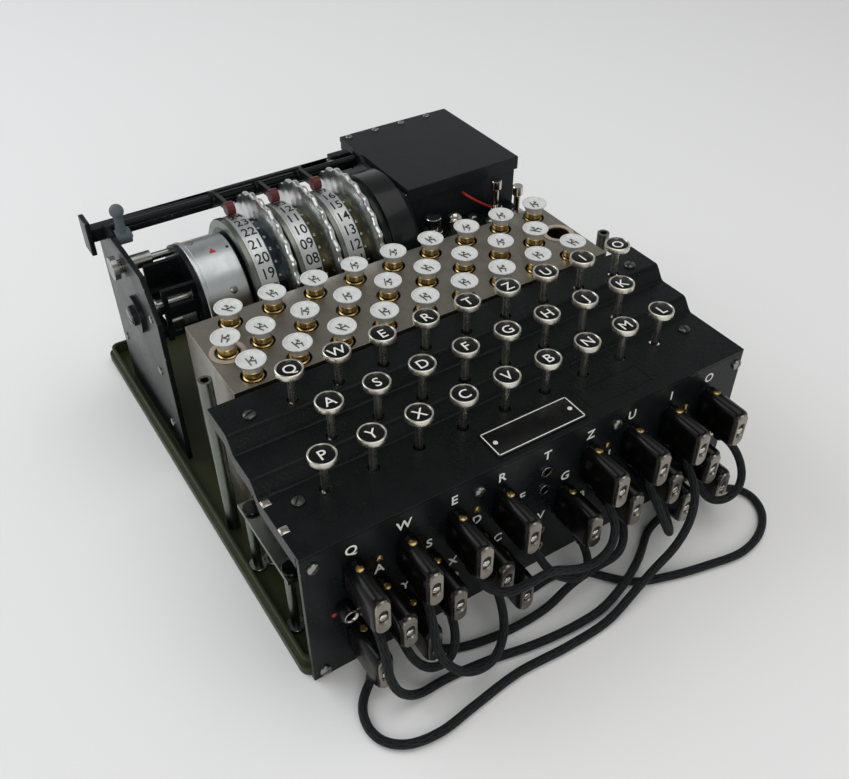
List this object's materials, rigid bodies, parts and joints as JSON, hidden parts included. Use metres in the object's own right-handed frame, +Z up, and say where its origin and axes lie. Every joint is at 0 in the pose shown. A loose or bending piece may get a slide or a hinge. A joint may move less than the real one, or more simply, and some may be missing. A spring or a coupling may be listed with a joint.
{
  "type": "rotor cipher machine",
  "caption": "Desktop rotor cipher machine out of its case, with keys, lamps, rotors, battery box and a plug panel with patch leads.",
  "frame": {"origin": "centre of the base tray's underside", "axes": "+X to the operator's right, +Y away from the operator, +Z up"},
  "size_m": [0.2737, 0.3562, 0.141],
  "materials": {
    "olive_paint": "satin, worn",
    "black_paint": "satin",
    "wrinkle_enamel": "wrinkle",
    "grey_paint": "satin",
    "satin_nickel": "satin",
    "nickel": "polished, worn",
    "plated_steel": "satin",
    "brass": "worn",
    "bakelite": "polished",
    "key_insert": "polished",
    "lettering": "matt paint",
    "red_mark": "matt paint",
    "lamp_lens": "frosted",
    "insulating_board": "matt",
    "rotor_body": "satin",
    "battery_card": "matt",
    "wire_sleeve": "satin",
    "braid": "woven, waxed"
  },
  "bodies": {
    "chassis": {"base_tray": "olive_paint", "chassis_posts": "plated_steel", "front_panel": "black_paint", "case_screws": "plated_steel", "plug_sockets": "nickel", "test_sockets": "bakelite", "key_cover": "wrinkle_enamel", "key_frame": "plated_steel", "contact_boards": "insulating_board", "lamp_plate": "satin_nickel", "lamp_bulbs": "lamp_lens", "left_frame_plate": "black_paint", "right_frame_plate": "black_paint", "rotor_rods": "plated_steel", "entry_disc": "bakelite", "top_bar": "black_paint", "battery_box": "black_paint", "battery": "battery_card", "terminals": "nickel", "patch_plugs": "bakelite", "patch_cords": "braid"},
    "key_p": {"key_p": "nickel"},
    "key_y": {"key_y": "nickel"},
    "key_x": {"key_x": "nickel"},
    "key_c": {"key_c": "nickel"},
    "key_v": {"key_v": "nickel"},
    "key_b": {"key_b": "nickel"},
    "key_n": {"key_n": "nickel"},
    "key_m": {"key_m": "nickel"},
    "key_l": {"key_l": "nickel"},
    "key_a": {"key_a": "nickel"},
    "key_s": {"key_s": "nickel"},
    "key_d": {"key_d": "nickel"},
    "key_f": {"key_f": "nickel"},
    "key_g": {"key_g": "nickel"},
    "key_h": {"key_h": "nickel"},
    "key_j": {"key_j": "nickel"},
    "key_k": {"key_k": "nickel"},
    "key_q": {"key_q": "nickel"},
    "key_w": {"key_w": "nickel"},
    "key_e": {"key_e": "nickel"},
    "key_r": {"key_r": "nickel"},
    "key_t": {"key_t": "nickel"},
    "key_z": {"key_z": "nickel"},
    "key_u": {"key_u": "nickel"},
    "key_i": {"key_i": "nickel"},
    "key_o": {"key_o": "nickel"},
    "rotor_1": {"rotor_1_core": "rotor_body"},
    "ring_1": {"rotor_1_ring": "satin_nickel"},
    "rotor_2": {"rotor_2_core": "rotor_body"},
    "ring_2": {"rotor_2_ring": "satin_nickel"},
    "rotor_3": {"rotor_3_core": "rotor_body"},
    "ring_3": {"rotor_3_ring": "satin_nickel"},
    "reflector": {"reflector_bracket": "black_paint", "reflector_drum": "satin_nickel"},
    "lever": {"release_lever": "grey_paint"},
    "detents": {"detent_arms": "black_paint"},
    "pawls": {"pawl_bar": "plated_steel"},
    "lid": {"battery_lid": "wrinkle_enamel"},
    "selector": {"selector_knob": "nickel"}
  },
  "joints": [
    {"name": "key_p_press", "type": "slide", "parent": "chassis", "child": "key_p", "axis": [0, 0, -1], "range_m": [0, 0.005], "stiffness_N_per_m": 200, "springref_m": -0.005},
    {"name": "key_y_press", "type": "slide", "parent": "chassis", "child": "key_y", "axis": [0, 0, -1], "range_m": [0, 0.005], "stiffness_N_per_m": 200, "springref_m": -0.005},
    {"name": "key_x_press", "type": "slide", "parent": "chassis", "child": "key_x", "axis": [0, 0, -1], "range_m": [0, 0.005], "stiffness_N_per_m": 200, "springref_m": -0.005},
    {"name": "key_c_press", "type": "slide", "parent": "chassis", "child": "key_c", "axis": [0, 0, -1], "range_m": [0, 0.005], "stiffness_N_per_m": 200, "springref_m": -0.005},
    {"name": "key_v_press", "type": "slide", "parent": "chassis", "child": "key_v", "axis": [0, 0, -1], "range_m": [0, 0.005], "stiffness_N_per_m": 200, "springref_m": -0.005},
    {"name": "key_b_press", "type": "slide", "parent": "chassis", "child": "key_b", "axis": [0, 0, -1], "range_m": [0, 0.005], "stiffness_N_per_m": 200, "springref_m": -0.005},
    {"name": "key_n_press", "type": "slide", "parent": "chassis", "child": "key_n", "axis": [0, 0, -1], "range_m": [0, 0.005], "stiffness_N_per_m": 200, "springref_m": -0.005},
    {"name": "key_m_press", "type": "slide", "parent": "chassis", "child": "key_m", "axis": [0, 0, -1], "range_m": [0, 0.005], "stiffness_N_per_m": 200, "springref_m": -0.005},
    {"name": "key_l_press", "type": "slide", "parent": "chassis", "child": "key_l", "axis": [0, 0, -1], "range_m": [0, 0.005], "stiffness_N_per_m": 200, "springref_m": -0.005},
    {"name": "key_a_press", "type": "slide", "parent": "chassis", "child": "key_a", "axis": [0, 0, -1], "range_m": [0, 0.005], "stiffness_N_per_m": 200, "springref_m": -0.005},
    {"name": "key_s_press", "type": "slide", "parent": "chassis", "child": "key_s", "axis": [0, 0, -1], "range_m": [0, 0.005], "stiffness_N_per_m": 200, "springref_m": -0.005},
    {"name": "key_d_press", "type": "slide", "parent": "chassis", "child": "key_d", "axis": [0, 0, -1], "range_m": [0, 0.005], "stiffness_N_per_m": 200, "springref_m": -0.005},
    {"name": "key_f_press", "type": "slide", "parent": "chassis", "child": "key_f", "axis": [0, 0, -1], "range_m": [0, 0.005], "stiffness_N_per_m": 200, "springref_m": -0.005},
    {"name": "key_g_press", "type": "slide", "parent": "chassis", "child": "key_g", "axis": [0, 0, -1], "range_m": [0, 0.005], "stiffness_N_per_m": 200, "springref_m": -0.005},
    {"name": "key_h_press", "type": "slide", "parent": "chassis", "child": "key_h", "axis": [0, 0, -1], "range_m": [0, 0.005], "stiffness_N_per_m": 200, "springref_m": -0.005},
    {"name": "key_j_press", "type": "slide", "parent": "chassis", "child": "key_j", "axis": [0, 0, -1], "range_m": [0, 0.005], "stiffness_N_per_m": 200, "springref_m": -0.005},
    {"name": "key_k_press", "type": "slide", "parent": "chassis", "child": "key_k", "axis": [0, 0, -1], "range_m": [0, 0.005], "stiffness_N_per_m": 200, "springref_m": -0.005},
    {"name": "key_q_press", "type": "slide", "parent": "chassis", "child": "key_q", "axis": [0, 0, -1], "range_m": [0, 0.005], "stiffness_N_per_m": 200, "springref_m": -0.005},
    {"name": "key_w_press", "type": "slide", "parent": "chassis", "child": "key_w", "axis": [0, 0, -1], "range_m": [0, 0.005], "stiffness_N_per_m": 200, "springref_m": -0.005},
    {"name": "key_e_press", "type": "slide", "parent": "chassis", "child": "key_e", "axis": [0, 0, -1], "range_m": [0, 0.005], "stiffness_N_per_m": 200, "springref_m": -0.005},
    {"name": "key_r_press", "type": "slide", "parent": "chassis", "child": "key_r", "axis": [0, 0, -1], "range_m": [0, 0.005], "stiffness_N_per_m": 200, "springref_m": -0.005},
    {"name": "key_t_press", "type": "slide", "parent": "chassis", "child": "key_t", "axis": [0, 0, -1], "range_m": [0, 0.005], "stiffness_N_per_m": 200, "springref_m": -0.005},
    {"name": "key_z_press", "type": "slide", "parent": "chassis", "child": "key_z", "axis": [0, 0, -1], "range_m": [0, 0.005], "stiffness_N_per_m": 200, "springref_m": -0.005},
    {"name": "key_u_press", "type": "slide", "parent": "chassis", "child": "key_u", "axis": [0, 0, -1], "range_m": [0, 0.005], "stiffness_N_per_m": 200, "springref_m": -0.005},
    {"name": "key_i_press", "type": "slide", "parent": "chassis", "child": "key_i", "axis": [0, 0, -1], "range_m": [0, 0.005], "stiffness_N_per_m": 200, "springref_m": -0.005},
    {"name": "key_o_press", "type": "slide", "parent": "chassis", "child": "key_o", "axis": [0, 0, -1], "range_m": [0, 0.005], "stiffness_N_per_m": 200, "springref_m": -0.005},
    {"name": "rotor_1_turn", "type": "hinge", "parent": "chassis", "child": "rotor_1", "pos_m": [0, 0.06, 0.088], "axis": [1, 0, 0], "continuous": true},
    {"name": "ring_1_setting", "type": "hinge", "parent": "rotor_1", "child": "ring_1", "pos_m": [0, 0.06, 0.088], "axis": [1, 0, 0], "continuous": true},
    {"name": "rotor_2_turn", "type": "hinge", "parent": "chassis", "child": "rotor_2", "pos_m": [0, 0.06, 0.088], "axis": [1, 0, 0], "continuous": true},
    {"name": "ring_2_setting", "type": "hinge", "parent": "rotor_2", "child": "ring_2", "pos_m": [0, 0.06, 0.088], "axis": [1, 0, 0], "continuous": true},
    {"name": "rotor_3_turn", "type": "hinge", "parent": "chassis", "child": "rotor_3", "pos_m": [0, 0.06, 0.088], "axis": [1, 0, 0], "continuous": true},
    {"name": "ring_3_setting", "type": "hinge", "parent": "rotor_3", "child": "ring_3", "pos_m": [0, 0.06, 0.088], "axis": [1, 0, 0], "continuous": true},
    {"name": "reflector_slide", "type": "slide", "parent": "chassis", "child": "reflector", "axis": [-1, 0, 0], "range_m": [0, 0.005]},
    {"name": "lever_turn", "type": "hinge", "parent": "chassis", "child": "lever", "pos_m": [0, 0.0895, 0.121], "axis": [1, 0, 0], "range_deg": [0, 60]},
    {"name": "detent_lift", "type": "hinge", "parent": "chassis", "child": "detents", "pos_m": [0, 0.0975, 0.1235], "axis": [-1, 0, 0], "range_deg": [0, 8], "stiffness_Nm_per_rad": 0.2, "springref_deg": -11.46},
    {"name": "pawl_swing", "type": "hinge", "parent": "chassis", "child": "pawls", "pos_m": [0, 0.115, 0.035], "axis": [1, 0, 0], "range_deg": [0, 4], "stiffness_Nm_per_rad": 0.2, "springref_deg": -11.46},
    {"name": "lid_open", "type": "hinge", "parent": "chassis", "child": "lid", "pos_m": [0, 0.1272, 0.1225], "axis": [-1, 0, 0], "range_deg": [0, 95]},
    {"name": "selector_turn", "type": "hinge", "parent": "chassis", "child": "selector", "pos_m": [0.0527, 0.028, 0], "axis": [0, 0, 1], "range_deg": [-60, 60]}
  ],
  "couplings": [
    {"joint": "lever_turn", "follows": "reflector_slide", "rad_per_m": 209}
  ]
}
